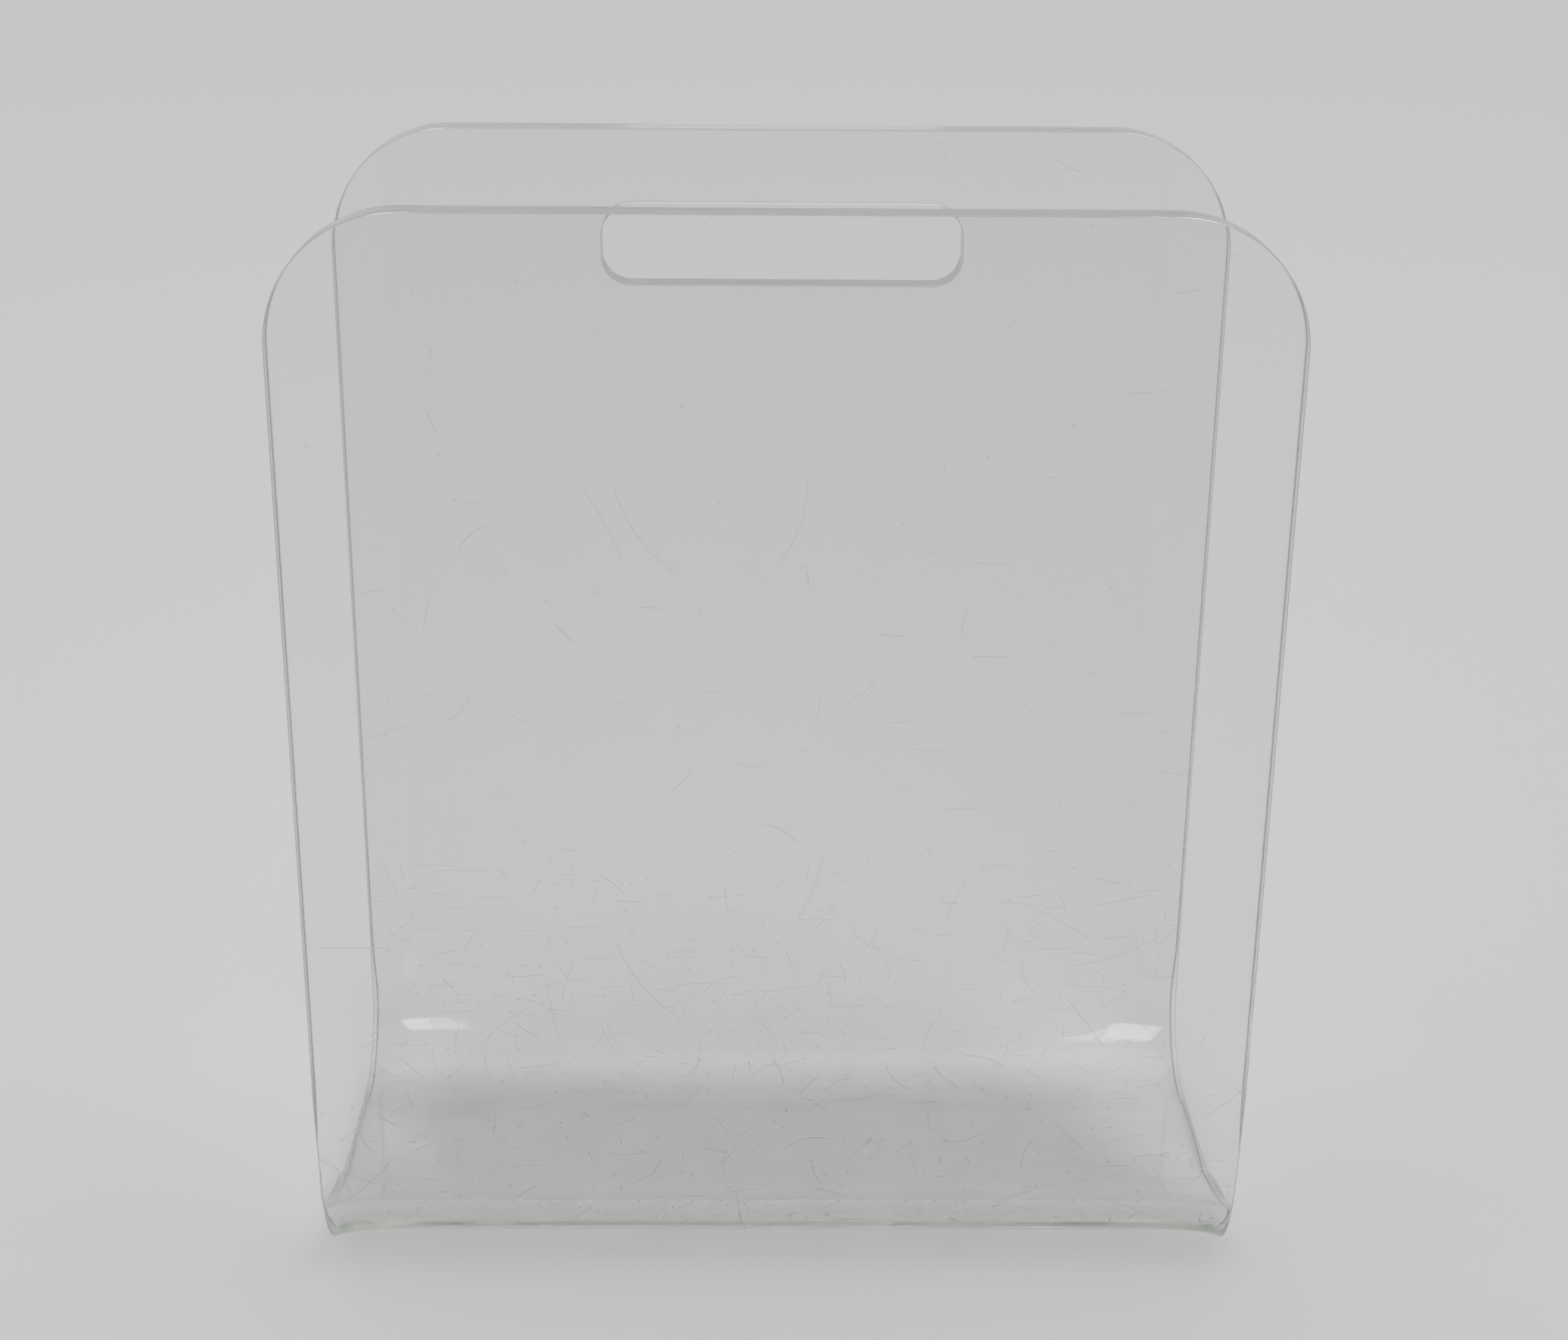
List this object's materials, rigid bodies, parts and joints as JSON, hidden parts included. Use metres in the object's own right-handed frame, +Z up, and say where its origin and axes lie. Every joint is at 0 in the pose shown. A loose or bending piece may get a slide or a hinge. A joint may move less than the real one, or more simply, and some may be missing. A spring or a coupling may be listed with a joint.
{
  "type": "magazine file holder",
  "caption": "Clear acrylic magazine holder: one sheet heat-bent into an upright U, with rounded top corners and a hand slot in the back panel.",
  "frame": {"origin": "middle of the underside, on the surface the holder stands on", "axes": "+Z up, X across the width of the panels, +Y from the plain front panel towards the back panel with the hand slot"},
  "size_m": [0.3076, 0.1472, 0.3601],
  "materials": {
    "clear_acrylic": "polished clear acrylic with fine handling scratches"
  },
  "bodies": {
    "root": {"bent_acrylic_sheet": "clear_acrylic"}
  },
  "joints": []
}
